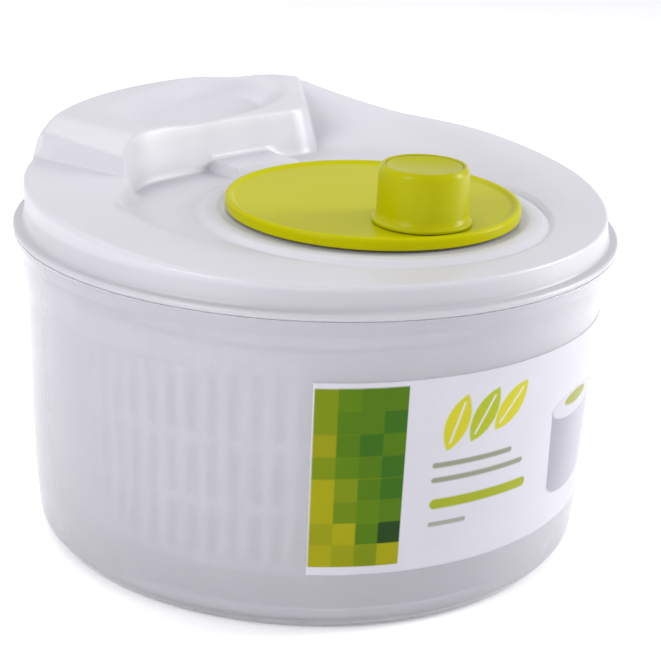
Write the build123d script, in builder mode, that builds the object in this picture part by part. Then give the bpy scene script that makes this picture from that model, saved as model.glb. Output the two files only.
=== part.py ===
from build123d import *
from math import cos, sin, tan, pi, radians, sqrt, acos, hypot
import os

# Crank salad spinner, three litres. Millimetres, +Z up.
# Origin: the bowl's axis, on the surface that the bowl stands on.
# The hand grip hump is at +Y, the crank and the label are at -Y.

# ---------------------------------------------------------------- driving dimensions
bowl_wall = 2.2
lid_wall = 2.0
bowl_top_z = 105.3
lip_r = 102.0                 # lid lip, the widest part
lip_z0, lip_z1 = 105.6, 107.3
edge_r, edge_z = 97.9, 113.5  # top edge of the lid's skirt
deck_z = 114.4                # flat deck of the lid

crank_y = -26.4               # crank axis, off the bowl's axis
disc_r = 48.65
disc_top = 120.6
disc_face = 119.8
disc_under = 117.6
disc_skirt_z = 116.5

gear_m = 1.2
ring_teeth, pinion_teeth = 60, 16
ring_pitch_r = gear_m * ring_teeth / 2
pinion_pitch_r = gear_m * pinion_teeth / 2
backlash = 0.30               # taken off the pinion's teeth and off the ring's, along the pitch circle
gear_z0, gear_z1 = 107.2, 114.0

well_r = 44.0                 # clear radius of the gear well
tray_z0, tray_z1 = 104.0, 106.2
shaft_r = 4.0                 # pinion shaft
hub_r = 6.0                   # crank hub
run_fit = 0.06                # radial running clearance
gap = 0.3                     # between faces of different moving bodies

knob_x, knob_y = -7.3, -55.1
knob_r = 14.3
knob_flange_r = 15.9
knob_top = 138.7
knob_pin_r = 4.0

basket_r0, basket_r1 = 87.2, 90.2     # outer radius at the floor and at the rim
basket_z0, basket_z1 = 15.3, 92.6
basket_wall = 1.8
slot_count = 80
slot_w = 3.5
slot_rows = [(20.6, 36.8), (40.4, 58.2), (61.4, 83.6)]
notch_w = 8.8
arm_w = 8.0

os.makedirs("parts", exist_ok=True)


def axis_plane(angle_deg):
    """Plane through the Z axis whose local x runs outwards at that azimuth and whose local y is up."""
    a = radians(angle_deg)
    return Plane(origin=(0, 0, 0), x_dir=(cos(a), sin(a), 0), z_dir=(sin(a), -cos(a), 0))


def plane_3pt(p1, p2, p3, inset=0.0, toward=(0, 0, 1)):
    """Plane through three points, normal turned towards the given direction, moved back by inset."""
    a, b, c = Vector(*p1), Vector(*p2), Vector(*p3)
    n = (b - a).cross(c - a).normalized()
    if n.dot(Vector(*toward)) < 0:
        n = n * -1
    return Plane(origin=a - n * inset, z_dir=n)


def gear_points(teeth, tip_r, root_r, thin):
    """Outline of an involute gear, 20 degree pressure angle, one tooth centred on +Y.
    thin is taken off each tooth along the pitch circle."""
    rp = gear_m * teeth / 2
    rb = rp * cos(radians(20))
    inv = lambda a: tan(a) - a
    half = (pi * gear_m / 2 - thin) / (2 * rp)
    radii = [max(root_r, rb + 0.01), (rp + max(root_r, rb)) / 2, rp, (rp + tip_r) / 2, tip_r]
    flank = []
    for r in radii:
        flank.append((r, half + inv(radians(20)) - inv(acos(rb / r))))
    if root_r < rb:
        flank.insert(0, (root_r, flank[0][1] + 0.012))
    pts = []
    for i in range(teeth):
        mid = pi / 2 + 2 * pi * i / teeth
        for r, h in flank:
            pts.append((r * cos(mid - h), r * sin(mid - h)))
        for r, h in reversed(flank):
            pts.append((r * cos(mid + h), r * sin(mid + h)))
    return pts


# ================================================================ bowl
# outer wall: small foot radius, straight cone behind the label, flared mouth
bowl_outer = [(94.4, 5.0), (95.8, 20.4), (98.25, 85.7), (99.6, 93.8), (100.6, 100.0), (101.3, bowl_top_z - 1.6)]
with BuildPart() as bowl:
    with BuildSketch(Plane.XZ):
        with BuildLine():
            Line((0, 1.4), (84.0, 1.4))
            Line((84.0, 1.4), (85.4, 0.0))
            Line((85.4, 0.0), (89.6, 0.0))
            TangentArc((89.6, 0.0), (94.4, 5.0), tangent=(1, 0))
            Polyline(*bowl_outer)
            Line(bowl_outer[-1], (101.9, bowl_top_z - 1.2))
            Line((101.9, bowl_top_z - 1.2), (101.9, bowl_top_z - 0.4))
            Line((101.9, bowl_top_z - 0.4), (101.4, bowl_top_z))
            Line((101.4, bowl_top_z), (99.3, bowl_top_z))
            Line((99.3, bowl_top_z), (98.4, 100.0))
            Line((98.4, 100.0), (97.4, 93.8))
            Line((97.4, 93.8), (96.05, 85.7))
            Line((96.05, 85.7), (93.6, 20.4))
            Line((93.6, 20.4), (92.2, 7.0))
            TangentArc((92.2, 7.0), (88.2, 3.6), tangent=(-0.1, -1))
            Line((88.2, 3.6), (8.5, 3.6))
            Line((8.5, 3.6), (6.0, 9.0))
            Line((6.0, 9.0), (3.0, 9.0))
            Line((3.0, 9.0), (3.0, 3.2))
            Line((3.0, 3.2), (0, 3.2))
            Line((0, 3.2), (0, 1.4))
        make_face()
    revolve(axis=Axis.Z)
bowl.part.label = "bowl"

# steel pin fixed in the boss on the bowl's floor
with BuildPart() as pivot_pin:
    with BuildSketch(Plane.XZ):
        with BuildLine():
            Polyline((0, 3.2), (3.0, 3.2), (3.0, 18.2))
            Line((3.0, 18.2), (2.2, 19.2))
            Line((2.2, 19.2), (0, 19.8))
            Line((0, 19.8), (0, 3.2))
        make_face()
    revolve(axis=Axis.Z)
pivot_pin.part.label = "pivot_pin"

# printed film on the front of the wall
label_half = 43.5
label_z0, label_z1 = 20.8, 85.3
label_t = 0.25


def bowl_r(z):
    return 95.8 + (98.25 - 95.8) * (z - 20.4) / (85.7 - 20.4)


with BuildPart() as label:
    with BuildSketch(axis_plane(-90 - label_half)):
        with BuildLine():
            Polyline(
                (bowl_r(label_z0), label_z0), (bowl_r(label_z0) + label_t, label_z0),
                (bowl_r(label_z1) + label_t, label_z1), (bowl_r(label_z1), label_z1),
                close=True,
            )
        make_face()
    revolve(axis=Axis.Z, revolution_arc=2 * label_half)
label.part.label = "label"

# ================================================================ basket pivot bush
with BuildPart() as pivot_bush:
    with BuildSketch(Plane.XZ):
        with BuildLine():
            Polyline(
                (3.0 + run_fit, 9.3), (8.4, 9.3), (8.4, 10.8), (6.0, 10.8), (6.0, 22.2),
                (5.2, 22.8), (0, 22.8), (0, 20.2), (3.0 + run_fit, 20.2), close=True,
            )
        make_face()
    revolve(axis=Axis.Z)
pivot_bush.part.label = "pivot_bush"


# ================================================================ basket
def basket_r(z):
    return basket_r0 + (basket_r1 - basket_r0) * (z - basket_z0) / (basket_z1 - basket_z0)


with BuildPart() as basket:
    # wall, floor and hub in one profile
    with BuildSketch(Plane.XZ):
        with BuildLine():
            Polyline(
                (6.0 + run_fit, 11.1), (8.8, 11.1), (8.8, basket_z0), (basket_r0 - 1.5, basket_z0),
                (basket_r(basket_z0 + 2.0) + 0.1, basket_z0 + 2.0),
                (basket_r(89.4), 89.4), (92.6, 90.6), (92.6, basket_z1 - 0.5), (92.1, basket_z1),
                (basket_r(90) - basket_wall, basket_z1), (basket_r(20) - basket_wall, basket_z0 + 2.6),
                (basket_r(20) - basket_wall - 1.4, basket_z0 + 1.8), (10.6, basket_z0 + 1.8),
                (8.8, 25.0), (0, 25.0), (0, 23.1), (6.0 + run_fit, 23.1), close=True,
            )
        make_face()
    revolve(axis=Axis.Z)
    # upright slots in three rows
    for z0, z1 in slot_rows:
        with BuildSketch(Plane.XY.offset(z0)):
            with PolarLocations(basket_r(z0) - 1.0, slot_count):
                Rectangle(8.0, slot_w)
        extrude(amount=z1 - z0, mode=Mode.SUBTRACT)
    # drain slots in the floor, two rings
    with BuildSketch(Plane.XY.offset(basket_z0 - 1)):
        with PolarLocations(68.0, 40):
            SlotOverall(24.0, 3.2)
        with PolarLocations(34.0, 20):
            SlotOverall(26.0, 3.2)
    extrude(amount=4.5, mode=Mode.SUBTRACT)
    # four open notches in the rim for the drive plate's arms
    with BuildSketch(Plane.XY.offset(89.1)):
        with PolarLocations(90.0, 4):
            Rectangle(12.0, notch_w)
    extrude(amount=6.0, mode=Mode.SUBTRACT)
basket.part.label = "basket"

# ================================================================ lid
# The hump, the low shoulders that run out from it and the raised collar round the crank are built twice,
# once for the outside and once, moved in by the wall, for the hollow inside.
base_z = deck_z - 1.0


def lid_revolve(inset):
    """Deck and skirt without the hump."""
    t = inset
    with BuildPart() as body:
        with BuildSketch(Plane.XZ):
            with BuildLine():
                if t == 0:
                    Polyline(
                        (0, 99.0), (97.5, 99.0), (97.7, lip_z0), (lip_r - 0.4, lip_z0), (lip_r, lip_z0 + 0.4),
                        (lip_r, lip_z1 - 0.5), (lip_r - 0.5, lip_z1), (99.2, lip_z1), (98.9, lip_z1 + 1.0),
                        (edge_r, edge_z), (95.2, deck_z), (0, deck_z), close=True,
                    )
                else:
                    Polyline(
                        (0, 98.0), (97.5 - t, 98.0), (97.7 - t, 107.6), (edge_r - t, edge_z - 0.7 * t),
                        (95.2 - 0.7 * t, deck_z - t), (0, deck_z - t), close=True,
                    )
            make_face()
        revolve(axis=Axis.Z)
    return body.part


def cone_prism(inset, z0, z1):
    """Outer wall of the hump: leans inwards, a little more towards the top."""
    t = inset
    with BuildPart() as body:
        with BuildSketch(Plane.XZ):
            with BuildLine():
                Polyline(
                    (0, z0), (97.6 - t, z0), (97.9 - t, 114.0), (98.2 - t, 120.0), (97.0 - t, 125.0),
                    (95.3 - t, 131.0), (92.9 - t, 136.0), (89.6 - t, z1), (0, z1), close=True,
                )
            make_face()
        revolve(axis=Axis.Z)
    return body.part


def hump(inset):
    t = inset
    with BuildPart() as body:
        with BuildSketch(Plane.XY.offset(base_z - 1.2 * t)):
            with BuildLine():
                # inner wall: slightly bowed, square to the deck; the ends lie beyond the end facets
                ThreePointArc((-60.0, 43.0 + t), (-6.0, 47.8 + t), (43.0 - 0.6 * t, 40.0 + t))
                Polyline((43.0 - 0.6 * t, 40.0 + t), (104.0 - 0.6 * t, 46.0 + t), (104.0, 104.0), (-104.0, 104.0),
                         (-104.0, 43.0 + t), (-60.0, 43.0 + t))
            make_face()
        extrude(amount=32.0 + t)
        # top slopes down towards the inner wall
        split(bisect_by=plane_3pt((-35.7, 46.9, 132.8), (32.2, 46.9, 133.0), (0, 94.0, 137.4), t), keep=Keep.BOTTOM)
        # bevel and steep facet at the -X end
        split(bisect_by=plane_3pt((-35.7, 46.9, 132.6), (-46.9, 84.2, 134.6), (-47.3, 42.7, 124.4), t), keep=Keep.BOTTOM)
        split(bisect_by=plane_3pt((-47.3, 42.7, 124.4), (-55.6, 77.5, 128.3), (-52.0, 45.4, 118.5), t), keep=Keep.BOTTOM)
        # two ramps at the +X end
        split(bisect_by=plane_3pt((32.2, 43.0, 132.8), (53.7, 79.6, 138.3), (63.9, 71.4, 133.8), t), keep=Keep.BOTTOM)
        split(bisect_by=plane_3pt((38.8, 40.8, 128.5), (64.9, 70.4, 133.0), (85.5, 43.6, 122.6), t), keep=Keep.BOTTOM)
        add(cone_prism(t, base_z - 1.2 * t, 143.0), mode=Mode.INTERSECT)
    return body.part


def shoulders(inset):
    """Crescent that rises gently towards the back, either side of the hump."""
    t = inset
    with BuildPart() as body:
        with BuildSketch(Plane.XY.offset(base_z - 1.2 * t)):
            with BuildLine():
                CenterArc((0, 0), 104.0, -30, 240)
                CenterArc((0, 6.0), 65.0 + t, -26, 232)
                Line(CenterArc((0, 0), 104.0, -30, 240) @ 0, CenterArc((0, 6.0), 65.0 + t, -26, 232) @ 0)
                Line(CenterArc((0, 0), 104.0, -30, 240) @ 1, CenterArc((0, 6.0), 65.0 + t, -26, 232) @ 1)
            make_face()
        extrude(amount=14.0)
        split(bisect_by=plane_3pt((-60, -45, 114.2), (60, -45, 114.2), (0, 60, 123.6), t), keep=Keep.BOTTOM)
        add(cone_prism(t, base_z - 1.2 * t, 143.0), mode=Mode.INTERSECT)
    return body.part


outer_base, outer_hump, outer_shoulders = lid_revolve(0), hump(0), shoulders(0)
inner_base, inner_hump, inner_shoulders = lid_revolve(lid_wall), hump(lid_wall), shoulders(lid_wall)

boss_pcd_r = 49.0
boss_angles = [20, 160, 232, 308]

with BuildPart() as lid:
    add(outer_base)
    add(outer_shoulders)
    add(outer_hump)
    # finger dish along the top of the hump
    with BuildSketch(Plane.YZ.offset(-30.0)):
        with Locations((70.0, 160.6)):
            Circle(28.6)
    extrude(amount=72.0, mode=Mode.SUBTRACT)
    add(inner_base, mode=Mode.SUBTRACT)
    add(inner_shoulders, mode=Mode.SUBTRACT)
    # the hollow inside the hump stays under the dish
    with BuildPart(mode=Mode.PRIVATE) as hollow:
        add(inner_hump)
        with BuildSketch(Plane.YZ.offset(-33.0)):
            with Locations((70.0, 160.6)):
                Circle(28.6 + lid_wall)
        extrude(amount=78.0, mode=Mode.SUBTRACT)
    add(hollow.part, mode=Mode.SUBTRACT)
    # raised collar round the crank
    with BuildSketch(Plane.XY.offset(deck_z - 0.6)):
        with Locations((0, crank_y)):
            Circle(57.6)
            Circle(50.4, mode=Mode.SUBTRACT)
    extrude(amount=2.2, taper=22)
    # step between the collar and the hump's wall
    with BuildSketch(Plane.XY.offset(deck_z - 1.0)):
        with Locations((10.5, 36.5)):
            Rectangle(37.0, 22.0)
    extrude(amount=4.6, taper=8)
    # wall of the gear well and the posts for the housing screws
    with BuildSketch(Plane.XY.offset(tray_z1)):
        with Locations((0, crank_y)):
            Circle(well_r + 2.0)
        for a in boss_angles:
            with Locations((boss_pcd_r * cos(radians(a)), crank_y + boss_pcd_r * sin(radians(a)))):
                Circle(3.6)
    extrude(amount=deck_z - lid_wall - tray_z1 + 0.4)
    with BuildSketch(Plane.XY.offset(tray_z1 - 1)):
        with Locations((0, crank_y)):
            Circle(well_r)
    extrude(amount=12.0, mode=Mode.SUBTRACT)
    with BuildSketch(Plane.XY.offset(tray_z1)):
        for a in boss_angles:
            with Locations((boss_pcd_r * cos(radians(a)), crank_y + boss_pcd_r * sin(radians(a)))):
                Circle(1.3)
    extrude(amount=6.4, mode=Mode.SUBTRACT)
lid.part.label = "lid"

# ---------------------------------------------------------------- gear housing under the lid
with BuildPart() as gear_housing:
    with BuildSketch(Plane.XY.offset(tray_z0)):
        with Locations((0, crank_y)):
            Circle(well_r + 2.6)
        for a in boss_angles:
            with Locations((boss_pcd_r * cos(radians(a)), crank_y + boss_pcd_r * sin(radians(a)))):
                Circle(4.2)
    extrude(amount=tray_z1 - tray_z0)
    # boss for the crank hub, boss for the pinion bush, three stiffening ribs underneath
    with BuildSketch(Plane.XY.offset(tray_z0)):
        with Locations((0, crank_y)):
            Circle(9.5)
    extrude(amount=115.5 - tray_z0)
    with BuildSketch(Plane.XY.offset(101.2)):
        Circle(9.0)
    extrude(amount=tray_z0 - 101.2 + 0.2)
    with BuildSketch(Plane.XY.offset(102.6)):
        with Locations((-21.0, crank_y), (21.0, crank_y)):
            Rectangle(20.0, 1.6)
        with Locations((0, crank_y - 22.0)):
            Rectangle(1.6, 22.0)
    extrude(amount=1.6)
    with Locations((0, crank_y, 110.0)):
        Cylinder(hub_r + run_fit, 30.0, mode=Mode.SUBTRACT)
    with Locations((0, 0, 104.0)):
        Cylinder(6.5, 20.0, mode=Mode.SUBTRACT)
    for a in boss_angles:
        with Locations((boss_pcd_r * cos(radians(a)), crank_y + boss_pcd_r * sin(radians(a)), 105.0)):
            Cylinder(1.5, 6.0, mode=Mode.SUBTRACT)
gear_housing.part.label = "gear_housing"

with BuildPart() as housing_screws:
    for a in boss_angles:
        x, y = boss_pcd_r * cos(radians(a)), crank_y + boss_pcd_r * sin(radians(a))
        with BuildSketch(Plane.XY.offset(tray_z0 - 1.7)):
            with Locations((x, y)):
                Circle(3.0)
                Rectangle(3.4, 0.7, mode=Mode.SUBTRACT)
                Rectangle(0.7, 3.4, mode=Mode.SUBTRACT)
        extrude(amount=1.0)
        with BuildSketch(Plane.XY.offset(tray_z0 - 0.9)):
            with Locations((x, y)):
                Circle(3.0)
        extrude(amount=0.9)
        with BuildSketch(Plane.XY.offset(tray_z0 - 0.1)):
            with Locations((x, y)):
                Circle(1.28)
        extrude(amount=8.0)
housing_screws.part.label = "housing_screws"

with BuildPart() as pinion_bush:
    with BuildSketch(Plane.XZ):
        with BuildLine():
            Polyline(
                (shaft_r + run_fit, 101.2), (6.5, 101.2), (6.5, tray_z1), (8.2, tray_z1), (8.2, 106.9),
                (shaft_r + run_fit, 106.9), close=True,
            )
        make_face()
    revolve(axis=Axis.Z)
pinion_bush.part.label = "pinion_bush"

# ================================================================ crank
ring_screw_r = 39.85
ring_screw_angles = [90, 210, 330]
with BuildPart() as crank_disc:
    with BuildSketch(Plane.XZ):
        with BuildLine():
            Polyline(
                (0, 103.7), (hub_r, 103.7), (hub_r, disc_under), (46.2, disc_under), (46.7, disc_skirt_z),
                (disc_r - 0.5, disc_skirt_z), (disc_r, disc_skirt_z + 0.6), (disc_r, disc_top - 1.1),
                (disc_r - 0.35, disc_top - 0.3), (disc_r - 1.0, disc_top), (disc_r - 1.6, disc_top - 0.15),
                (disc_r - 2.6, disc_face), (0, disc_face), (0, 103.7),
            )
        make_face()
    revolve(axis=Axis.Z)
    # boss and hole for the knob's pin (the disc is centred on Z here and moved out at the end)
    with BuildSketch(Plane.XY.offset(115.2)):
        with Locations((knob_x, knob_y - crank_y)):
            Circle(7.0)
    extrude(amount=disc_under - 115.2 + 0.1)
    with BuildSketch(Plane.XY.offset(115.0)):
        with Locations((knob_x, knob_y - crank_y)):
            Circle(knob_pin_r)
    extrude(amount=8.0, mode=Mode.SUBTRACT)
    # blind holes for the ring gear's screws and for the hub screw
    with BuildSketch(Plane.XY.offset(disc_under - 1)):
        with PolarLocations(ring_screw_r, 3, 90):
            Circle(0.95)
    extrude(amount=2.3, mode=Mode.SUBTRACT)
    with BuildSketch(Plane.XY.offset(103.0)):
        Circle(1.95)
    extrude(amount=10.0, mode=Mode.SUBTRACT)
crank_disc_part = crank_disc.part.moved(Location((0, crank_y, 0)))
crank_disc_part.label = "crank_disc"

with BuildPart() as ring_gear:
    with BuildSketch(Plane.XY.offset(gear_z0 - 0.2)):
        Circle(42.4)
        with BuildLine():
            Polyline(*gear_points(ring_teeth, ring_pitch_r + 1.5, ring_pitch_r - 1.2, -backlash / 2), close=True)
        make_face(mode=Mode.SUBTRACT)
    extrude(amount=gear_z1 + 0.4 - gear_z0 + 0.2)
    with BuildSketch(Plane.XY.offset(gear_z1 + 0.4)):
        Circle(42.4)
        Circle(ring_pitch_r + 1.5, mode=Mode.SUBTRACT)
    extrude(amount=disc_under - gear_z1 - 0.4)
    with BuildSketch(Plane.XY.offset(gear_z0 - 0.2)):
        with PolarLocations(ring_screw_r, 3, 90):
            Circle(1.9)
    extrude(amount=2.2, mode=Mode.SUBTRACT)
    with BuildSketch(Plane.XY.offset(gear_z0)):
        with PolarLocations(ring_screw_r, 3, 90):
            Circle(1.05)
    extrude(amount=12.0, mode=Mode.SUBTRACT)
ring_gear_part = ring_gear.part.moved(Location((0, crank_y, 0)))
ring_gear_part.label = "ring_gear"

with BuildPart() as ring_gear_screws:
    for a in ring_screw_angles:
        x, y = ring_screw_r * cos(radians(a)), crank_y + ring_screw_r * sin(radians(a))
        with BuildSketch(Plane.XY.offset(gear_z0 + 0.3)):
            with Locations((x, y)):
                Circle(1.8)
        extrude(amount=1.7)
        with BuildSketch(Plane.XY.offset(gear_z0 + 1.8)):
            with Locations((x, y)):
                Circle(0.92)
        extrude(amount=118.7 - gear_z0 - 1.8)
ring_gear_screws.part.label = "ring_gear_screws"

with BuildPart() as crank_thrust_washer:
    with BuildSketch(Plane.XY.offset(115.8)):
        with Locations((0, crank_y)):
            Circle(9.3)
            Circle(hub_r + 0.1, mode=Mode.SUBTRACT)
    extrude(amount=disc_under - 115.8)
crank_thrust_washer.part.label = "crank_thrust_washer"

with BuildPart() as crank_washer:
    with BuildSketch(Plane.XY.offset(102.7)):
        with Locations((0, crank_y)):
            Circle(8.6)
            Circle(2.1, mode=Mode.SUBTRACT)
    extrude(amount=1.0)
crank_washer.part.label = "crank_washer"

with BuildPart() as crank_screw:
    with BuildSketch(Plane.XZ.offset(-crank_y)):
        with BuildLine():
            Polyline(
                (0, 101.4), (0.9, 101.4), (0.9, 100.6), (3.2, 100.6), (4.0, 101.2), (4.0, 102.7), (1.9, 102.7),
                (1.9, 111.6), (0, 112.4), close=True,
            )
        make_face()
    revolve(axis=Axis((0, crank_y, 0), (0, 0, 1)))
crank_screw.part.label = "crank_screw"

# ================================================================ knob and its pin
knob_axis = Axis((knob_x, knob_y, 0), (0, 0, 1))
knob_plane = Plane(origin=(knob_x, knob_y, 0), x_dir=(1, 0, 0), z_dir=(0, -1, 0))
with BuildPart() as knob_pin:
    with BuildSketch(knob_plane):
        with BuildLine():
            Polyline(
                (0, 115.2), (knob_pin_r, 115.2), (knob_pin_r, 131.0), (6.4, 131.0), (6.4, 132.0), (5.6, 132.7),
                (0, 132.9), close=True,
            )
        make_face()
    revolve(axis=knob_axis)
knob_pin.part.label = "knob_pin"

with BuildPart() as knob_washer:
    with BuildSketch(knob_plane):
        with BuildLine():
            Polyline((knob_pin_r + 0.05, 130.3), (7.2, 130.3), (7.2, 131.0), (knob_pin_r + 0.05, 131.0), close=True)
        make_face()
    revolve(axis=knob_axis)
knob_washer.part.label = "knob_washer"

with BuildPart() as knob:
    with BuildSketch(knob_plane):
        with BuildLine():
            Polyline(
                (knob_pin_r + run_fit, 120.4), (7.0, 120.4), (7.0, 126.6), (12.4, 126.6), (12.6, 120.2),
                (knob_flange_r - 0.4, 120.2), (knob_flange_r, 120.6), (knob_flange_r - 0.1, 121.5),
                (15.1, 122.1), (14.6, 123.2), (knob_r, 136.6), (14.0, 137.8), (13.2, 138.5), (12.6, knob_top),
                (12.3, 138.3), (12.3, 135.9), (10.6, 135.9), (10.6, 130.0), (knob_pin_r + run_fit, 130.0), close=True,
            )
        make_face()
    revolve(axis=knob_axis)
knob.part.label = "knob"

with BuildPart() as knob_cap:
    with BuildSketch(knob_plane):
        with BuildLine():
            Polyline(
                (0, 135.9), (12.2, 135.9), (12.2, 137.9), (11.6, 138.05), (10.4, 137.6), (8.6, 137.3),
                (6.0, 137.1), (3.0, 137.02), (0, 137.0), close=True,
            )
        make_face()
    revolve(axis=knob_axis)
knob_cap.part.label = "knob_cap"

# ================================================================ driver: pinion, shaft, drive plate
hex_r = 3.9
with BuildPart() as pinion_gear:
    with BuildSketch(Plane.XY.offset(gear_z0)):
        with BuildLine():
            Polyline(*gear_points(pinion_teeth, pinion_pitch_r + 1.2, pinion_pitch_r - 1.5, backlash / 2), close=True)
        make_face()
    extrude(amount=gear_z1 - gear_z0)
    with BuildSketch(Plane.XY.offset(100.9)):
        Circle(shaft_r)
    extrude(amount=gear_z0 - 100.9 + 0.2)
    with BuildSketch(Plane.XY.offset(91.0)):
        RegularPolygon(hex_r, 6)
    extrude(amount=10.0)
    with BuildSketch(Plane.XY.offset(90.5)):
        Circle(1.5)
    extrude(amount=9.0, mode=Mode.SUBTRACT)
pinion_gear.part.label = "pinion_gear"

with BuildPart() as drive_plate:
    with BuildSketch(Plane.XY.offset(89.5)):
        Circle(52.0)
        with PolarLocations(46.0, 4):
            Rectangle(88.0, arm_w)
    extrude(amount=2.4)
    # upright rib along each arm, and the hub
    with BuildSketch(Plane.XY.offset(91.8)):
        with PolarLocations(44.0, 4):
            Rectangle(74.0, 1.8)
    extrude(amount=2.6)
    with BuildSketch(Plane.XY.offset(89.5)):
        Circle(9.0)
    extrude(amount=100.9 - 89.5)
    with BuildSketch(Plane.XY.offset(91.0)):
        RegularPolygon(hex_r, 6)
    extrude(amount=12.0, mode=Mode.SUBTRACT)
    with BuildSketch(Plane.XY.offset(89.0)):
        Circle(1.7)
    extrude(amount=3.0, mode=Mode.SUBTRACT)
drive_plate.part.label = "drive_plate"

with BuildPart() as drive_plate_washer:
    with BuildSketch(Plane.XY.offset(88.5)):
        Circle(6.0)
        Circle(1.7, mode=Mode.SUBTRACT)
    extrude(amount=1.0)
drive_plate_washer.part.label = "drive_plate_washer"

with BuildPart() as drive_plate_screw:
    with BuildSketch(Plane.XZ):
        with BuildLine():
            Polyline(
                (0, 87.6), (0.8, 87.6), (0.8, 86.7), (2.6, 86.7), (3.2, 87.2), (3.2, 88.5), (1.45, 88.5),
                (1.45, 98.6), (0, 99.2), close=True,
            )
        make_face()
    revolve(axis=Axis.Z)
drive_plate_screw.part.label = "drive_plate_screw"

# ================================================================ files, one for each piece
export_step(bowl.part, "parts/bowl.step")
export_step(pivot_pin.part, "parts/pivot_pin.step")
export_step(label.part, "parts/label.step")
export_step(pivot_bush.part, "parts/pivot_bush.step")
export_step(basket.part, "parts/basket.step")
export_step(lid.part, "parts/lid.step")
export_step(gear_housing.part, "parts/gear_housing.step")
export_step(housing_screws.part, "parts/housing_screws.step")
export_step(pinion_bush.part, "parts/pinion_bush.step")
export_step(crank_disc_part, "parts/crank_disc.step")
export_step(ring_gear_part, "parts/ring_gear.step")
export_step(ring_gear_screws.part, "parts/ring_gear_screws.step")
export_step(crank_thrust_washer.part, "parts/crank_thrust_washer.step")
export_step(crank_washer.part, "parts/crank_washer.step")
export_step(crank_screw.part, "parts/crank_screw.step")
export_step(knob_pin.part, "parts/knob_pin.step")
export_step(knob_washer.part, "parts/knob_washer.step")
export_step(knob.part, "parts/knob.step")
export_step(knob_cap.part, "parts/knob_cap.step")
export_step(pinion_gear.part, "parts/pinion_gear.step")
export_step(drive_plate.part, "parts/drive_plate.step")
export_step(drive_plate_washer.part, "parts/drive_plate_washer.step")
export_step(drive_plate_screw.part, "parts/drive_plate_screw.step")
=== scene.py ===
import math
import bpy
import numpy as np
from mathutils import Matrix, Vector


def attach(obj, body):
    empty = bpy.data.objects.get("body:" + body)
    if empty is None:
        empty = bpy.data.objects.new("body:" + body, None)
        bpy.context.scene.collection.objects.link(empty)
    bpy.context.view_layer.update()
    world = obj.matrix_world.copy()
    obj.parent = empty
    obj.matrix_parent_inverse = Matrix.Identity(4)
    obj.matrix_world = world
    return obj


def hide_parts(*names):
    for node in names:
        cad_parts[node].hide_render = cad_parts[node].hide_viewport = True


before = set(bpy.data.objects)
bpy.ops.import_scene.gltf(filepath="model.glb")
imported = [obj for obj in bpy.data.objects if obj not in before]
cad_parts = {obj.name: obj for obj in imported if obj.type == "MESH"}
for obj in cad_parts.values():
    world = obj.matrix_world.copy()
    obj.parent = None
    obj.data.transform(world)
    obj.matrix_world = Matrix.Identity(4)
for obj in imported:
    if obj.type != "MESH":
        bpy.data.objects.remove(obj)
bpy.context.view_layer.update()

SC = bpy.context.scene
MM = 0.001

# ------------------------------------------------------------------ small helpers


def V(*p):
    return Vector(p)


def new_mesh(name, verts, faces, mats, smooth=True, mat_index=None):
    me = bpy.data.meshes.new(name)
    me.from_pydata([tuple(v) for v in verts], [], [tuple(f) for f in faces])
    me.validate()
    for m in mats if isinstance(mats, (list, tuple)) else [mats]:
        me.materials.append(m)
    if mat_index is not None:
        me.polygons.foreach_set("material_index", mat_index)
    me.polygons.foreach_set("use_smooth", [smooth] * len(me.polygons))
    me.update()
    ob = bpy.data.objects.new(name, me)
    SC.collection.objects.link(ob)
    return ob


def round_profile(pts, steps=5, support=0.35):
    """pts: list of (r, z, radius) round a closed section. Corners become arcs, with a support point beside each arc."""
    out = []
    n = len(pts)
    for i in range(n):
        p = np.array(pts[i][:2], float)
        rad = pts[i][2] if len(pts[i]) > 2 else 0.0
        a = np.array(pts[i - 1][:2], float)
        b = np.array(pts[(i + 1) % n][:2], float)
        da, db = a - p, b - p
        la, lb = np.hypot(*da), np.hypot(*db)
        if rad <= 0 or la < 1e-9 or lb < 1e-9:
            out.append(tuple(p))
            continue
        da, db = da / la, db / lb
        cosang = float(np.clip(da @ db, -1, 1))
        half = math.acos(cosang) / 2
        if half > math.radians(89.5):
            out.append(tuple(p))
            continue
        cut = min(rad / math.tan(half), 0.46 * la, 0.46 * lb)
        r = cut * math.tan(half)
        c = p + (da + db) / np.hypot(*(da + db)) * (r / math.sin(half))
        s, e = p + da * cut, p + db * cut
        a0 = math.atan2(*(s - c)[::-1])
        a1 = math.atan2(*(e - c)[::-1])
        d = (a1 - a0 + math.pi) % (2 * math.pi) - math.pi
        if la - cut > 3 * support:
            out.append(tuple(s + da * support))
        for k in range(steps + 1):
            t = a0 + d * k / steps
            out.append((c[0] + r * math.cos(t), c[1] + r * math.sin(t)))
        if lb - cut > 3 * support:
            out.append(tuple(e + db * support))
    return out


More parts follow.
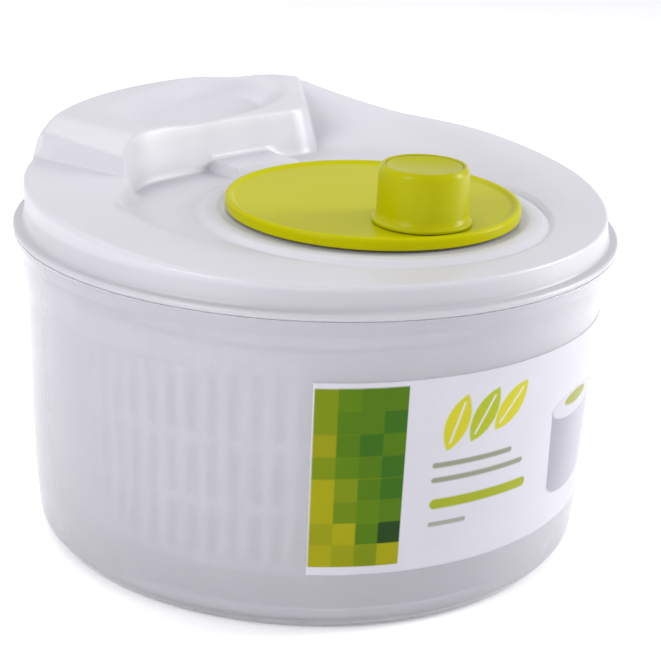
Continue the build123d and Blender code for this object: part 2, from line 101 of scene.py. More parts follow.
def lathe(name, section, mats, seg=192, centre=(0.0, 0.0), a0=0.0, uv=None):
    """Turns a closed section (r, z in mm) round a vertical axis. Points on the axis become one vertex."""
    cx, cy = centre
    verts, rings = [], []
    ang = [a0 + 2 * math.pi * k / seg for k in range(seg)]
    for r, z in section:
        if abs(r) < 1e-6:
            rings.append([len(verts)] * seg)
            verts.append((cx * MM, cy * MM, z * MM))
        else:
            rings.append(list(range(len(verts), len(verts) + seg)))
            verts += [((cx + r * math.cos(t)) * MM, (cy + r * math.sin(t)) * MM, z * MM) for t in ang]
    faces = []
    n = len(section)
    for i in range(n):
        A, B = rings[i], rings[(i + 1) % n]
        if A is B or (A[0] == A[1] and B[0] == B[1]):
            continue
        for k in range(seg):
            k2 = (k + 1) % seg
            f = []
            for v in (A[k], A[k2], B[k2], B[k]):
                if v not in f:
                    f.append(v)
            if len(f) > 2:
                faces.append(f)
    ob = new_mesh(name, verts, faces, mats)
    fix_normals(ob)
    return ob


def fix_normals(ob):
    import bmesh
    bm = bmesh.new()
    bm.from_mesh(ob.data)
    bmesh.ops.remove_doubles(bm, verts=bm.verts, dist=1e-6)
    bmesh.ops.recalc_face_normals(bm, faces=bm.faces)
    bm.to_mesh(ob.data)
    bm.free()
    ob.data.update()


def join(objs, name):
    """Joins mesh objects into the first one."""
    bpy.ops.object.select_all(action="DESELECT")
    for o in objs:
        o.select_set(True)
    bpy.context.view_layer.objects.active = objs[0]
    bpy.ops.object.join()
    objs[0].name = name
    objs[0].data.name = name
    return objs[0]

# ------------------------------------------------------------------ materials (all procedural)


def node_mat(name):
    m = bpy.data.materials.new(name)
    m.use_nodes = True
    nt = m.node_tree
    b = nt.nodes["Principled BSDF"]
    return m, nt, b


def mapped_noise(nt, scale, detail=3.0, stretch=(1, 1, 1), rough=0.5):
    tc = nt.nodes.new("ShaderNodeTexCoord")
    mp = nt.nodes.new("ShaderNodeMapping")
    mp.inputs["Scale"].default_value = stretch
    nz = nt.nodes.new("ShaderNodeTexNoise")
    nz.inputs["Scale"].default_value = scale
    nz.inputs["Detail"].default_value = detail
    nz.inputs["Roughness"].default_value = rough
    nt.links.new(tc.outputs["Object"], mp.inputs["Vector"])
    nt.links.new(mp.outputs["Vector"], nz.inputs["Vector"])
    return nz


def ramp(nt, src, stops):
    r = nt.nodes.new("ShaderNodeValToRGB")
    el = r.color_ramp.elements
    while len(el) < len(stops):
        el.new(0.5)
    for e, (p, c) in zip(el, stops):
        e.position = p
        e.color = (*c, 1.0) if len(c) == 3 else c
    nt.links.new(src, r.inputs["Fac"])
    return r


def remap(nt, src, lo, hi):
    n = nt.nodes.new("ShaderNodeMapRange")
    n.inputs["From Min"].default_value = 0.3
    n.inputs["From Max"].default_value = 0.7
    n.inputs["To Min"].default_value = lo
    n.inputs["To Max"].default_value = hi
    nt.links.new(src, n.inputs["Value"])
    return n


def bump(nt, b, src, strength, dist):
    n = nt.nodes.new("ShaderNodeBump")
    n.inputs["Strength"].default_value = strength
    n.inputs["Distance"].default_value = dist
    nt.links.new(src, n.inputs["Height"])
    nt.links.new(n.outputs["Normal"], b.inputs["Normal"])
    return n


def plastic(name, lo, hi, rough=(0.3, 0.4), transmission=0.0, sss=0.0, sss_r=(0.004, 0.004, 0.004), grain=900.0, grain_h=0.00003,
            blotch=26.0, coat=0.0, ior=1.49, spec=0.5):
    """Moulded plastic: slow colour drift of the melt, fine moulded grain, roughness that follows both."""
    m, nt, b = node_mat(name)
    slow = mapped_noise(nt, blotch, 3.0)
    r = ramp(nt, slow.outputs["Fac"], [(0.3, lo), (0.7, hi)])
    nt.links.new(r.outputs["Color"], b.inputs["Base Color"])
    fine = mapped_noise(nt, grain, 2.0, rough=0.6)
    rg = remap(nt, slow.outputs["Fac"], rough[0], rough[1])
    nt.links.new(rg.outputs["Result"], b.inputs["Roughness"])
    bump(nt, b, fine.outputs["Fac"], 0.35, grain_h)
    b.inputs["IOR"].default_value = ior
    b.inputs["Specular IOR Level"].default_value = spec
    b.inputs["Transmission Weight"].default_value = transmission
    b.inputs["Subsurface Weight"].default_value = sss
    b.inputs["Subsurface Radius"].default_value = sss_r
    b.inputs["Subsurface Scale"].default_value = 1.0
    b.inputs["Coat Weight"].default_value = coat
    b.inputs["Coat Roughness"].default_value = 0.12
    return m


M_BOWL = plastic("frosted_bowl_pp", (0.742, 0.732, 0.792), (0.767, 0.757, 0.812), rough=(0.16, 0.20), transmission=0.64, grain=700, grain_h=0.00001)

M_LID = plastic("frosted_lid_pp", (0.68, 0.672, 0.725), (0.70, 0.692, 0.745), rough=(0.31, 0.36), transmission=0.25, grain=700, grain_h=0.00001, spec=0.36)


def painted_height_shade(m, stops):
    """Painted shade: the base colour is multiplied by a grey tone that follows height, standing in for the shading of
    low and high parts.
    """
    nt = m.node_tree
    b = nt.nodes["Principled BSDF"]
    old = b.inputs["Base Color"].links[0].from_socket
    tc = nt.nodes.new("ShaderNodeTexCoord")
    sp = nt.nodes.new("ShaderNodeSeparateXYZ")
    mr = nt.nodes.new("ShaderNodeMapRange")
    z0, z1 = stops[0][0], stops[-1][0]
    mr.inputs["From Min"].default_value = z0 * MM
    mr.inputs["From Max"].default_value = z1 * MM
    nt.links.new(tc.outputs["Object"], sp.inputs["Vector"])
    nt.links.new(sp.outputs["Z"], mr.inputs["Value"])
    r = ramp(nt, mr.outputs["Result"], [((z - z0) / (z1 - z0), (c, c, c)) for z, c in stops])
    mx = nt.nodes.new("ShaderNodeMix")
    mx.data_type = "RGBA"
    mx.blend_type = "MULTIPLY"
    mx.inputs["Factor"].default_value = 1.0
    nt.links.new(old, mx.inputs["A"])
    nt.links.new(r.outputs["Color"], mx.inputs["B"])
    nt.links.new(mx.outputs["Result"], b.inputs["Base Color"])


# Painted shade: the bowl's colour darkens towards its bottom, where it curves under.
painted_height_shade(M_BOWL, [(0, 0.88), (10, 0.90), (30, 0.955), (58, 0.99), (75, 1.0), (100, 1.0)])
# Painted shade: the lid's skirt is darker than the deck and the hump, standing in for shading.
painted_height_shade(M_LID, [(99, 0.80), (112.6, 0.80), (114.0, 0.90), (119.0, 0.93), (124.0, 0.96), (131.0, 0.93), (140.0, 0.93)])
M_TRAY = plastic("frosted_tray_pp", (0.78, 0.775, 0.83), (0.82, 0.815, 0.865), rough=(0.34, 0.42), transmission=0.25, grain=700)
M_BASKET = plastic("basket_pp", (0.65, 0.65, 0.675), (0.69, 0.69, 0.71), rough=(0.32, 0.42), grain=600)
M_GREEN = plastic("lime_pp", (0.385, 0.373, 0.0), (0.405, 0.393, 0.0), rough=(0.22, 0.26), grain=1100, grain_h=0.000006, blotch=18, spec=0.045)
# Painted shade: the knob uses a darker copy of the disc's lime plastic.
M_KNOB_SHADED = plastic("lime_pp_knob_shaded", (0.335, 0.330, 0.0), (0.355, 0.349, 0.0), rough=(0.20, 0.24), grain=1100, grain_h=0.000006, blotch=18, spec=0.09)
M_NYLON = plastic("white_acetal", (0.80, 0.80, 0.77), (0.86, 0.86, 0.83), rough=(0.35, 0.45), grain=800)


def metal(name, lo, hi, rough):
    m, nt, b = node_mat(name)
    nz = mapped_noise(nt, 240.0, 4.0, stretch=(1, 1, 9))
    r = ramp(nt, nz.outputs["Fac"], [(0.3, lo), (0.7, hi)])
    nt.links.new(r.outputs["Color"], b.inputs["Base Color"])
    rg = remap(nt, nz.outputs["Fac"], rough[0], rough[1])
    nt.links.new(rg.outputs["Result"], b.inputs["Roughness"])
    bump(nt, b, nz.outputs["Fac"], 0.25, 0.00002)
    b.inputs["Metallic"].default_value = 1.0
    return m


M_STEEL = metal("zinc_steel", (0.55, 0.56, 0.57), (0.70, 0.70, 0.71), (0.29, 0.42))


def set_mat(node, mat):
    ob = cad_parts[node]
    if not ob.data.materials:
        ob.data.materials.append(mat)
    for s in ob.material_slots:
        s.material = mat


for n_, m_ in {
    "basket": M_BASKET, "gear_housing": M_TRAY, "pinion_bush": M_NYLON, "pivot_bush": M_NYLON, "ring_gear": M_NYLON,
    "crank_thrust_washer": M_NYLON, "knob_pin": M_NYLON, "pinion_gear": M_NYLON, "drive_plate": M_BASKET,
    "housing_screws": M_STEEL, "ring_gear_screws": M_STEEL, "crank_washer": M_STEEL, "crank_screw": M_STEEL,
    "knob_washer": M_STEEL, "drive_plate_washer": M_STEEL, "drive_plate_screw": M_STEEL, "pivot_pin": M_STEEL,
}.items():
    set_mat(n_, m_)

# ------------------------------------------------------------------ bowl
SEG = 240


def bowl_r(z):
    return 95.8 + (98.25 - 95.8) * (z - 20.4) / (85.7 - 20.4)


bowl_pts = [
    (0, 1.4), (83.6, 1.4, 0.8), (85.4, 0.0, 0.8), (90.6, 0.0, 3.0), (94.35, 4.4, 5.0), (95.8, 20.4, 8),
    (98.25, 85.7, 9), (99.55, 93.8, 9), (100.7, 100.4, 5), (101.8, 103.9, 1.4), (101.95, 105.28, 0.15), (99.3, 105.28, 0.45),
    (98.4, 100.0, 6), (97.35, 93.8, 9), (96.05, 85.7, 9), (93.6, 20.4, 8), (92.3, 7.6, 5.0), (88.4, 3.6, 3.0),
    (8.6, 3.6, 1.2), (6.2, 9.0, 0.5), (3.0, 9.0, 0.2), (3.0, 3.2), (0, 3.2),
]
bowl = lathe("bowl_shell", round_profile(bowl_pts, 6), M_BOWL, seg=SEG)
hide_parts("bowl")
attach(bowl, "bowl")

# ------------------------------------------------------------------ lid
DECK = 114.4
CY = -26.4            # crank axis
T_WALL = 1.9


def smin(a, b, k):
    h = np.clip(0.5 + 0.5 * (b - a) / k, 0, 1)
    return b * (1 - h) + a * h - k * h * (1 - h)


def smax(a, b, k):
    return -smin(-a, -b, k)


def sstep(t):
    t = np.clip(t, 0, 1)
    return t * t * (3 - 2 * t)


def plane_z(p1, p2, p3):
    a, b, c = (np.array(p, float) for p in (p1, p2, p3))
    n = np.cross(b - a, c - a)
    return lambda x, y: a[2] - (n[0] * (x - a[0]) + n[1] * (y - a[1])) / n[2]


RIM_DEG = np.array([-75, -60, -45, -29, -15, -5, 4, 12, 20, 27, 32, 37, 41.6, 46.4, 49.4, 52, 58, 72, 86, 124, 132, 140, 148, 156, 165, 176, 188, 200, 215, 235, 285])
RIM_Z = np.array([114.7, 115.1, 116.3, 117.8, 119.2, 120.5, 121.9, 122.8, 123.4, 124.2, 125.6, 127.6, 129.8, 132.5, 134.5, 135.8, 135.8, 130.0, 124.0, 122.4, 122.3, 122.3, 121.9, 121.2,
                  120.2, 119.0, 117.6, 116.3, 115.2, 114.7, 114.7])


def rim_z(x, y):
    d = np.degrees(np.arctan2(y, x))
    d = np.where(d < -75, d + 360, d)
    return np.interp(d, RIM_DEG, RIM_Z)


P_bevel = plane_z((-37.9, 43.3, 133.6), (-53.4, 35.6, 127.6), (-52.0, 78.3, 135.0))
P_steep = plane_z((-53.2, 35.6, 127.5), (-60.7, 67.8, 130.6), (-55.9, 40.0, 120.5))
E1, ED, EN = np.array([32.2, 42.4]), np.array([0.5, 0.8660254]), np.array([0.8660254, -0.5])
DROP_D = np.array([-40, 0, 6, 12, 18, 23, 29, 35, 45, 65, 90])
DROP_Z = np.array([-3.0, 0, 2.2, 4.2, 6.7, 9.0, 11.1, 12.6, 14.3, 15.4, 16.5])


WALL_X = np.array([-75, -60, -53.4, -50.5, -46, -42, -37, -32.3, -24, -12, 10, 30, 37, 44, 60, 110])
WALL_Y = np.array([17.0, 28.6, 35.2, 37.9, 40.8, 42.6, 44.0, 44.8, 45.5, 45.9, 45.6, 44.6, 43.9, 43.4, 43.4, 43.4])


WALL_FX = np.arange(-75, 110, 0.5)
WALL_FY = np.convolve(np.pad(np.interp(WALL_FX, WALL_X, WALL_Y), 12, mode="edge"), np.hanning(27)[1:-1] / np.hanning(27).sum(), mode="valid")


def y_wall(x):
    """Foot line of the hump's inner wall."""
    return np.interp(x, WALL_FX, WALL_FY)


def top_field(x, y):
    """Height of the lid's outer surface at (x, y), outside the collar."""
    x, y = np.asarray(x, float), np.asarray(y, float)
    rho = np.hypot(x, y - 6.0)
    right = x > 0
    az = np.degrees(np.arctan2(y - 6.0, x))
    az = np.where(az < -90, az + 360, az)
    wide = np.interp(az, [90, 150, 156, 161, 170, 182, 215, 270], [4.2, 4.2, 4.8, 5.6, 8.0, 12.0, 22.0, 28.0])
    foot = np.interp(az, [90, 150, 156, 161, 170, 182, 215, 270], [57.6, 57.6, 59.6, 63.0, 64.6, 64.6, 60.0, 56.0])
    q = np.where(right, (rho - 57.0) / 32.0, (rho - foot) / wide)
    rz = rim_z(x, y)
    sh = DECK + (rz - DECK) * sstep(q)
    # hump
    top = 132.95 - 0.02 * (x + 38.0) + (y - 44.5) * (0.112 + 0.0011 * x + 0.00002 * x * x)
    # finger dish along the top
    u = (x - 4.0) * 0.985 + (y - 68.5) * 0.17
    v = -(x - 4.0) * 0.17 + (y - 68.5) * 0.985
    e = (np.abs(u / 42.0) ** 2.6 + np.abs(v / 18.0) ** 2.6) ** (1 / 2.6)
    top = top - 6.8 * sstep((1.03 - e) / (0.50 - 0.16 * sstep((u + 22.0) / 44.0)))
    top = smin(top, 138.62, 0.3)
    d = (x - E1[0]) * EN[0] + (y - E1[1]) * EN[1]
    t = (x - E1[0]) * ED[0] + (y - E1[1]) * ED[1]
    far = 134.0 + np.clip(t, -8, 60) / 43.0 * 5.2 - np.interp(d, DROP_D, DROP_Z)
    h = smin(top, far, 6.0)
    h = smin(h, P_bevel(x, y), 1.3)
    h = smin(h, P_steep(x, y), 1.6)
    # inner wall, and the hidden face that ends it
    end = (x - 42.2) * -0.788 + (y - 44.0) * 0.616
    h = smin(h, DECK - 2.4 + smin(y - y_wall(x), end * 0.7, 5.0) * 6.0, 3.6)
    z = smax(sh, h, 4.4)
    # step against the wall
    bx = np.minimum((x + 8.4) / 1.0, (27.0 - x) / 9.0)
    by = np.minimum((y - 27.0) / 6.0, 1.0)
    z = smax(z, DECK + 3.7 * sstep(bx) * sstep(by), 0.8)
    return z


RZ_Z = np.array([112.0, 113.4, 115.2, 117.3, 120.8, 124.1, 127.5, 130.8, 134.0, 137.4, 141.0])
RZ_R = np.array([98.05, 97.9, 98.1, 98.45, 98.3, 97.6, 96.6, 95.5, 94.2, 92.4, 90.6])


def rim_r(z):
    return np.interp(z, RZ_Z, RZ_R)


def collar_z(rho):
    return DECK + np.interp(rho, [44.9, 49.6, 50.3, 51.0, 51.9, 53.0, 55.2, 56.4, 57.4, 58.6], [1.2, 1.25, 1.35, 1.6, 1.72, 1.75, 1.7, 1.35, 0.5, 0])


NPHI = 420
N2, N3, N4 = 8, 15, 30
fine_ = np.linspace(0, 360, 3601)
dens = 1.0 + 1.5 * (np.exp(-((fine_ - 139) / 13.0) ** 2) + 0.9 * np.exp(-((fine_ - 48) / 10.0) ** 2) + 0.5 * np.exp(-((fine_ - 95) / 40.0) ** 2))
cum = np.concatenate([[0], np.cumsum((dens[1:] + dens[:-1]) / 2)])
phis = np.radians(np.interp(np.linspace(0, cum[-1], NPHI, endpoint=False), cum, fine_))
cosp, sinp = np.cos(phis), np.sin(phis)
Z1 = [44.9, 46.5, 48.6, 49.6, 50.3, 51.0, 51.9, 53.0, 55.2, 56.4, 57.4, 58.6]
inner = np.stack([58.6 * cosp, CY + 58.6 * sinp], 1)

# outer end of the top surface, found by a few rounds because the rim leans
zt = np.full(NPHI, DECK)
for _ in range(12):
    e_r = np.clip((zt - 113.4) * 0.55, 0.8, 1.9)
    r1 = rim_r(zt - e_r) - e_r
    zt = 0.5 * zt + 0.5 * top_field(r1 * cosp, r1 * sinp)
outer = np.stack([r1 * cosp, r1 * sinp], 1)

# where each line crosses the wall's foot
ts = np.linspace(0, 1, 500)
cross = np.full(NPHI, np.nan)
for i in range(NPHI):
    px = inner[i, 0] + (outer[i, 0] - inner[i, 0]) * ts
    py = inner[i, 1] + (outer[i, 1] - inner[i, 1]) * ts
    if sinp[i] > -0.1:
        s_ = np.where(px < 43, py - y_wall(px), np.hypot(px, py - 6.0) - 63.0)
        k = np.argmax(s_ > 0)
        if s_[k] > 0:
            cross[i] = ts[k]
L = np.hypot(*(outer - inner).T)
filled = np.where(np.isnan(cross), 0.42, cross)
filled = np.clip(filled, 0.12, 0.72)
ker = np.array([1, 2, 3, 4, 3, 2, 1]) / 16.0
sm = np.convolve(np.concatenate([filled[-3:], filled, filled[:3]]), ker, mode="valid")
crossing = np.where(np.abs(sm - filled) * L < 0.6, filled, sm)

grid_x, grid_y = [], []
for rho in Z1:
    grid_x.append(rho * cosp)
    grid_y.append(CY + rho * sinp)
s_list = []
lo = np.maximum(crossing - 1.4 / L, 0.05)
hi = np.minimum(crossing + 5.4 / L, 0.93)
for k in range(1, N2 + 1):
    s_list.append(lo * k / N2)
for k in range(1, N3 + 1):
    s_list.append(lo + (hi - lo) * k / N3)
for k in range(1, N4 + 1):
    s_list.append(hi + (1 - hi) * k / N4)
for s_ in s_list:
    grid_x.append(inner[:, 0] + (outer[:, 0] - inner[:, 0]) * s_)
    grid_y.append(inner[:, 1] + (outer[:, 1] - inner[:, 1]) * s_)
GX, GY = np.array(grid_x), np.array(grid_y)
GZ = top_field(GX, GY)
nz1 = len(Z1)
for j, rho in enumerate(Z1):
    GZ[j] = collar_z(rho)
# normals of the top from its slope
h_ = 0.15
dx = (top_field(GX + h_, GY) - top_field(GX - h_, GY)) / (2 * h_)
dy = (top_field(GX, GY + h_) - top_field(GX, GY - h_)) / (2 * h_)
dx[:nz1 - 1] = 0
dy[:nz1 - 1] = 0
nn = np.sqrt(dx ** 2 + dy ** 2 + 1)
UX, UY, UZ = GX + dx / nn * T_WALL, GY + dy / nn * T_WALL, GZ - T_WALL / nn
UZ[:nz1] = DECK - T_WALL

rows = []


def radial(r, z):
    r = np.broadcast_to(r, (NPHI,))
    z = np.broadcast_to(z, (NPHI,))
    rows.append(np.stack([r * cosp, r * sinp, z], 1))


def around_crank(rho, z):
    rows.append(np.stack([rho * cosp, CY + rho * sinp, np.full(NPHI, z)], 1))


around_crank(44.0, 114.6)
around_crank(44.1, 115.15)
around_crank(44.45, 115.5)
for j in range(len(GX)):
    rows.append(np.stack([GX[j], GY[j], GZ[j]], 1))
z_end = GZ[-1]
for k in range(1, 6):
    th = math.radians(82) * k / 5
    radial(r1 + e_r * math.sin(th), z_end - e_r + e_r * math.cos(th))
zb = z_end - e_r + e_r * math.cos(math.radians(82))
for k in range(1, 9):
    z_ = zb + (113.3 - zb) * k / 8
    radial(rim_r(z_), z_)
for r_, z_ in [(97.95, 113.0), (98.35, 111.0), (98.8, 108.6), (98.85, 108.0), (99.05, 107.6), (99.6, 107.42), (101.2, 107.35), (101.75, 107.1),
               (102.0, 106.65), (102.0, 105.8), (101.93, 105.52), (101.75, 105.42), (98.2, 105.42), (97.75, 105.3), (97.6, 104.9),
               (97.3, 99.5), (97.1, 99.15), (96.7, 99.0), (96.1, 99.0), (95.7, 99.15), (95.5, 99.5), (95.7, 105.5)]:
    radial(r_, z_)
z_in_top = z_end - T_WALL - 0.6
for k in range(0, 10):
    z_ = 108.0 + (z_in_top - 108.0) * k / 9
    radial(np.where(z_ < 113.4, 96.0, rim_r(z_) - T_WALL), z_)
radial(rim_r(z_in_top) - T_WALL - 0.25, z_in_top + 0.42)
for j in [len(GX) - 1] + list(range(len(GX) - 3, 2, -2)):
    if j == len(GX) - 1:
        rows.append(np.stack([GX[j] * 0.997, GY[j] * 0.997, z_end - T_WALL], 1))
    else:
        rows.append(np.stack([UX[j], UY[j], UZ[j]], 1))
around_crank(46.5, 112.4)
around_crank(46.1, 112.0)
around_crank(46.0, 106.5)
around_crank(45.8, 106.25)
around_crank(44.2, 106.25)
around_crank(44.0, 106.5)
ROWS = np.array(rows)
nr = len(ROWS)
verts = ROWS.reshape(-1, 3) * MM
faces = []
for i in range(nr):
    i2 = (i + 1) % nr
    for k in range(NPHI):
        k2 = (k + 1) % NPHI
        faces.append((i * NPHI + k, i2 * NPHI + k, i2 * NPHI + k2, i * NPHI + k2))
lid = new_mesh("lid_shell", verts, faces, M_LID)
fix_normals(lid)

# posts for the housing screws, under the deck
posts = []
for a_ in (20, 160, 232, 308):
    px, py = 49.0 * math.cos(math.radians(a_)), CY + 49.0 * math.sin(math.radians(a_))
    posts.append(lathe("post", round_profile([(1.35, 112.0), (1.35, 106.3, 0.1), (3.6, 106.3, 0.3), (3.7, 113.0)], 3), M_LID, seg=32, centre=(px, py)))
lid = join([lid] + posts, "lid_shell")
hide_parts("lid")
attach(lid, "lid")

# ------------------------------------------------------------------ label: a printed film on the bowl's front
LA0, LA1 = -133.5, -46.5
LZ0, LZ1 = 20.9, 85.2
NC, NRW = 418, 184


def box_sd(s, z, s0, s1, z0, z1, r):
    """Distance to a rounded rectangle, negative inside."""
    cx, cz, hx, hz = (s0 + s1) / 2, (z0 + z1) / 2, (s1 - s0) / 2 - r, (z1 - z0) / 2 - r
    qx, qz = np.abs(s - cx) - hx, np.abs(z - cz) - hz
    return np.hypot(np.maximum(qx, 0), np.maximum(qz, 0)) + np.minimum(np.maximum(qx, qz), 0) - r


def leaf_sd(s, z, cx, cz, length, width, ang):
    """Distance to a leaf: two arcs meeting at two points."""
    ca, sa = math.cos(ang), math.sin(ang)
    u = (s - cx) * ca + (z - cz) * sa
    v = np.abs(-(s - cx) * sa + (z - cz) * ca)
    a, b = length / 2, width / 2
    rr = (a * a + b * b) / (2 * b)
    return np.hypot(u, v + rr - b) - rr


def cover(sd):
    return np.clip(0.5 - sd / 0.36, 0, 1)


def s2l(c):
    c = np.array(c, float) / 255.0
    return np.where(c <= 0.04045, c / 12.92, ((c + 0.055) / 1.055) ** 2.4)


def label_print(s, z):
    film = s2l((186, 184, 192))
    col = np.broadcast_to(film, s.shape + (3,)).copy()

    def put(mask, rgb):
        c = s2l(rgb)
        col[:] = col * (1 - mask[..., None]) + c * mask[..., None]

    # block of green squares, in an order of its own
    S0, S1, Q0, Q1 = 0.5, 28.7, 24.0, 83.4
    tones = [(104, 119, 0), (90, 113, 0), (126, 128, 0), (68, 102, 0), (140, 136, 0), (46, 90, 10), (26, 56, 16), (76, 108, 0)]
    order = [
        [0, 7, 3, 3],
        [0, 3, 3, 5],
        [2, 3, 5, 3],
        [0, 7, 3, 5],
        [4, 0, 3, 5],
        [4, 1, 7, 3],
        [2, 4, 3, 6],
        [4, 2, 0, 4],
    ]
    nr_, nc_ = len(order), len(order[0])
    cw, ch = (S1 - S0) / nc_, (Q1 - Q0) / nr_
    for i in range(nr_):
        for j in range(nc_):
            m = cover(box_sd(s, z, S0 + j * cw, S1, Q0, Q1 - i * ch, 0.01))
            put(m, tones[order[i][j]])
    # three plain leaves
    for cx, cz, ln, w, a, c in [(45.5, 69.5, 19, 8.4, 1.25, (176, 172, 30)), (55.5, 70.5, 19, 8.4, 1.05, (150, 160, 26)), (66.0, 71.5, 19, 8.4, 0.85, (176, 172, 30))]:
        put(cover(leaf_sd(s, z, cx, cz, ln, w, a)), c)
        ca, sa = math.cos(a), math.sin(a)
        u = (s - cx) * ca + (z - cz) * sa
        v = -(s - cx) * sa + (z - cz) * ca
        put(cover(np.maximum(np.abs(v) - 0.35, np.abs(u) - ln * 0.36)), (190, 188, 197))
    # plain bars where lines of words would stand
    for s0, s1, z0, z1, c in [(38, 68, 55.2, 57.0, (128, 130, 112)), (38, 73.5, 50.2, 52.0, (128, 130, 112)),
                              (38, 76.0, 41.2, 44.6, (140, 148, 30)), (38, 51.5, 35.2, 36.8, (140, 142, 132))]:
        put(cover(box_sd(s, z, s0, s1, z0, z1, (z1 - z0) / 2)), c)
    # a grey drawing of a plain tub
    bx0, bx1, bz0, bz1, ry = 88.0, 122.0, 35.0, 62.0, 4.6
    cx, hx = (bx0 + bx1) / 2, (bx1 - bx0) / 2
    taper = hx - (bz1 - z) * 0.07
    e_top = ((s - cx) / hx) ** 2 + ((z - bz1) / ry) ** 2
    e_bot = ((s - cx) / (hx - 1.9)) ** 2 + ((z - bz0) / (ry * 0.9)) ** 2
    body = cover(np.maximum(np.abs(s - cx) - taper, np.maximum(z - bz1, bz0 - z)))
    shade = np.clip(0.5 + 0.5 * (s - cx) / hx, 0, 1)
    m = np.maximum(body, np.clip((1 - e_bot) * 6, 0, 1) * (z < bz0 + 0.2))
    g0, g1 = s2l((140, 138, 148)), s2l((172, 170, 180))
    c = g0 * (1 - shade[..., None]) + g1 * shade[..., None]
    col[:] = col * (1 - m[..., None]) + c * m[..., None]
    put(np.clip((1 - e_top) * 7, 0, 1), (178, 177, 185))
    put(np.clip(1 - np.abs(np.sqrt(e_top) - 1.0) * hx / 0.6, 0, 1) * 0.7, (132, 130, 140))
    put(np.clip((1 - (((s - cx) / (hx * 0.55)) ** 2 + ((z - bz1 - 1.6) / (ry * 0.5)) ** 2)) * 5, 0, 1), (140, 142, 60))
    return col


cs, rs = np.linspace(LA0, LA1, NC + 1), np.linspace(LZ0, LZ1, NRW + 1)
A_, Z_ = np.meshgrid(np.radians(cs), rs)           # rows: z, columns: angle
S_ = (A_ - math.radians(LA0)) * 97.1
R_ = bowl_r(Z_) + 0.235
edge_d = box_sd(S_, Z_, 0, S_.max(), LZ0, LZ1, 1.2)
R_ = R_ - 0.16 * np.clip(1 + edge_d / 0.5, 0, 1)   # edges of the film lie down on the bowl
front = np.stack([R_ * np.cos(A_), R_ * np.sin(A_), Z_], -1).reshape(-1, 3)
pc = label_print(S_, Z_).reshape(-1, 3)
w_ = NC + 1
lf = []
for i in range(NRW):
    for j in range(NC):
        a = i * w_ + j
        lf.append((a, a + 1, a + w_ + 1, a + w_))
nb = len(front)
ab = np.radians(cs)
rb0, rb1 = bowl_r(LZ0) + 0.04, bowl_r(LZ1) + 0.04
back = np.concatenate([np.stack([rb0 * np.cos(ab), rb0 * np.sin(ab), np.full(w_, LZ0)], 1), np.stack([rb1 * np.cos(ab), rb1 * np.sin(ab), np.full(w_, LZ1)], 1)])
top0 = NRW * w_
for j in range(NC):
    lf.append((nb + j + 1, nb + j, nb + w_ + j, nb + w_ + j + 1))
    lf.append((j + 1, j, nb + j, nb + j + 1))
    lf.append((top0 + j, top0 + j + 1, nb + w_ + j + 1, nb + w_ + j))
lf.append(tuple([nb] + [i * w_ for i in range(NRW + 1)] + [nb + w_]))
lf.append(tuple([nb + w_ - 1 + w_] + [i * w_ + NC for i in range(NRW, -1, -1)] + [nb + w_ - 1]))

M_LABEL, nt, b = node_mat("printed_film")
at = nt.nodes.new("ShaderNodeAttribute")
at.attribute_name = "print"
nz = mapped_noise(nt, 60.0, 3.0)
dots = mapped_noise(nt, 2400.0, 1.0)
mixc = nt.nodes.new("ShaderNodeMix")
mixc.data_type = "RGBA"
mixc.blend_type = "MULTIPLY"
mixc.inputs["Factor"].default_value = 1.0
tint = ramp(nt, nz.outputs["Fac"], [(0.3, (0.955, 0.955, 0.96)), (0.7, (1.0, 1.0, 1.0))])
nt.links.new(at.outputs["Color"], mixc.inputs["A"])
nt.links.new(tint.outputs["Color"], mixc.inputs["B"])
nt.links.new(mixc.outputs["Result"], b.inputs["Base Color"])
rg = remap(nt, nz.outputs["Fac"], 0.29, 0.34)
nt.links.new(rg.outputs["Result"], b.inputs["Roughness"])
bump(nt, b, dots.outputs["Fac"], 0.2, 0.00001)
b.inputs["Specular IOR Level"].default_value = 0.12

label = new_mesh("label_film", np.concatenate([front, back]) * MM, lf, M_LABEL)
ca_ = label.data.color_attributes.new("print", "FLOAT_COLOR", "POINT")
full = np.ones((len(label.data.vertices), 4))
full[:, :3] = s2l((186, 184, 192))
full[:len(pc), :3] = pc
ca_.data.foreach_set("color", full.ravel())
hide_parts("label")
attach(label, "bowl")

# ------------------------------------------------------------------ crank disc and knob
R_D = 48.65
disc = lathe("crank_disc_top", round_profile([
    (0, 119.8), (45.6, 119.8, 1.0), (46.5, 120.42, 0.9), (47.4, 120.6, 0.9), (48.4, 120.3, 1.0), (R_D, 119.4, 1.0), (R_D, 116.6, 0.5), (R_D - 1.9, 116.6, 0.3),
    (46.3, 117.6, 0.3), (6.0, 117.6, 0.5), (6.0, 103.7, 0.3), (2.0, 103.7, 0.2), (2.0, 112.8), (0, 112.8)], 6), M_GREEN, seg=288, centre=(0, CY))
KX, KY = -7.3, -55.1
boss = lathe("boss", round_profile([(4.05, 115.2, 0.2), (7.0, 115.2, 0.3), (7.0, 118.0), (4.05, 118.0)], 3), M_GREEN, seg=64, centre=(KX, KY))
disc = join([disc, boss], "crank_disc_top")
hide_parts("crank_disc")
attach(disc, "crank")

knob = lathe("knob_body", round_profile([
    (4.06, 120.4), (7.0, 120.4, 0.2), (7.0, 126.6, 0.4), (12.4, 126.6, 0.4), (12.6, 120.15, 0.2), (15.85, 120.15, 0.35), (15.9, 121.2, 0.45),
    (15.0, 121.75, 1.2), (14.55, 123.4, 3.0), (14.3, 134.6, 6.0), (14.15, 137.2, 2.4), (13.15, 138.55, 1.3), (12.32, 138.3, 0.25), (12.3, 135.9, 0.2),
    (10.6, 135.9, 0.2), (10.6, 130.0, 0.2), (4.06, 130.0)], 6), M_KNOB_SHADED, seg=144, centre=(KX, KY))
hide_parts("knob")
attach(knob, "knob")

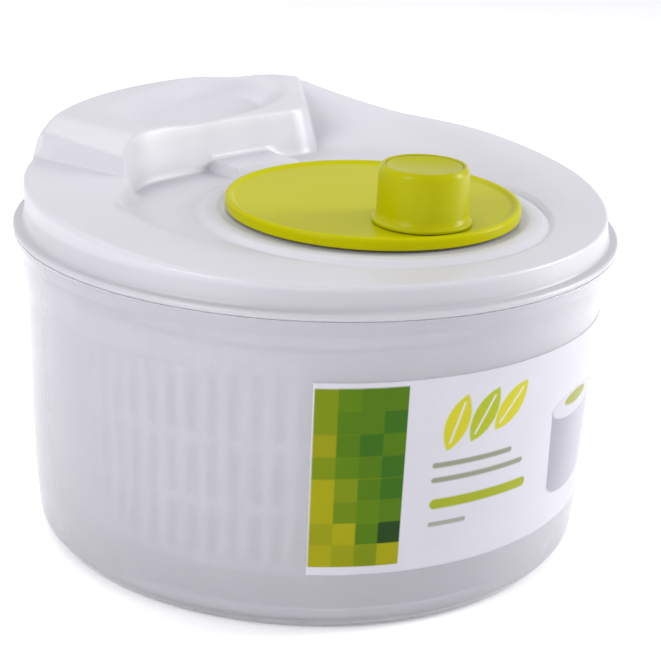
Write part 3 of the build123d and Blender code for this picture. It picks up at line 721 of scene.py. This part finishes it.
cap = lathe("knob_top_cap", round_profile([
    (0, 135.95), (12.1, 135.95, 0.2), (12.24, 138.12, 0.22), (11.4, 138.0, 1.2), (9.0, 137.5, 4.0), (5.0, 137.1, 5.0), (0, 137.0)], 6), M_KNOB_SHADED, seg=144, centre=(KX, KY))
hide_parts("knob_cap")
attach(cap, "knob")

# ------------------------------------------------------------------ stage, light and camera
floor = lathe("floor", [(0, 0), (9000, 0), (9000, -20), (0, -20)], [], seg=96)
M_FLOOR, nt, b = node_mat("pale_floor")
nz = mapped_noise(nt, 3.0, 2.0)
r_ = ramp(nt, nz.outputs["Fac"], [(0.3, (0.90, 0.90, 0.905)), (0.7, (0.915, 0.915, 0.92))])
nt.links.new(r_.outputs["Color"], b.inputs["Base Color"])
b.inputs["Roughness"].default_value = 0.7
b.inputs["Specular IOR Level"].default_value = 0.2
b.inputs["Emission Color"].default_value = (1.0, 1.0, 1.0, 1.0)
b.inputs["Emission Strength"].default_value = 0.16
floor.data.materials.clear()
floor.data.materials.append(M_FLOOR)
floor.location.z = -0.0002

world = bpy.data.worlds.new("studio")
world.use_nodes = True
wn = world.node_tree
bg = wn.nodes["Background"]
bg.inputs["Color"].default_value = (0.98, 0.985, 1.0, 1.0)
bg.inputs["Strength"].default_value = 0.76
SC.world = world


def softbox(name, loc, aim, size, power, col=(1, 1, 1)):
    ld = bpy.data.lights.new(name, "AREA")
    ld.shape = "RECTANGLE"
    ld.size, ld.size_y = size
    ld.energy = power
    ld.color = col
    ob = bpy.data.objects.new(name, ld)
    ob.location = loc
    ob.rotation_euler = (Vector(aim) - Vector(loc)).to_track_quat("-Z", "Y").to_euler()
    SC.collection.objects.link(ob)
    return ob


softbox("right", (0.84, -0.60, 0.40), (0, 0, 0.07), (0.42, 0.6), 10.9)
softbox("left", (-0.98, -0.08, 0.52), (0, 0, 0.08), (0.5, 0.6), 6.3)
softbox("top_back", (0.0, 0.50, 0.98), (-0.03, 0.05, 0.12), (0.8, 0.7), 3.3)

pos, tgt = V(-395.09, -409.12, 271.07), V(4.578, -4.421, 66.198)
fwd = (tgt - pos).normalized()
right = fwd.cross(V(0, 0, 1)).normalized()
up = right.cross(fwd)
roll = math.radians(2.39)
rx = right * math.cos(roll) + up * math.sin(roll)
ux = up * math.cos(roll) - right * math.sin(roll)
cam_d = bpy.data.cameras.new("camera")
cam_d.sensor_width = 36.0
cam_d.lens = 94.27
cam_d.clip_start, cam_d.clip_end = 0.01, 60.0
cam = bpy.data.objects.new("camera", cam_d)
m4 = Matrix.Identity(4)
for i in range(3):
    m4[i][0], m4[i][1], m4[i][2], m4[i][3] = rx[i], ux[i], -fwd[i], pos[i] * MM
cam.matrix_world = m4
SC.collection.objects.link(cam)
SC.camera = cam
SC.view_settings.view_transform = "Standard"
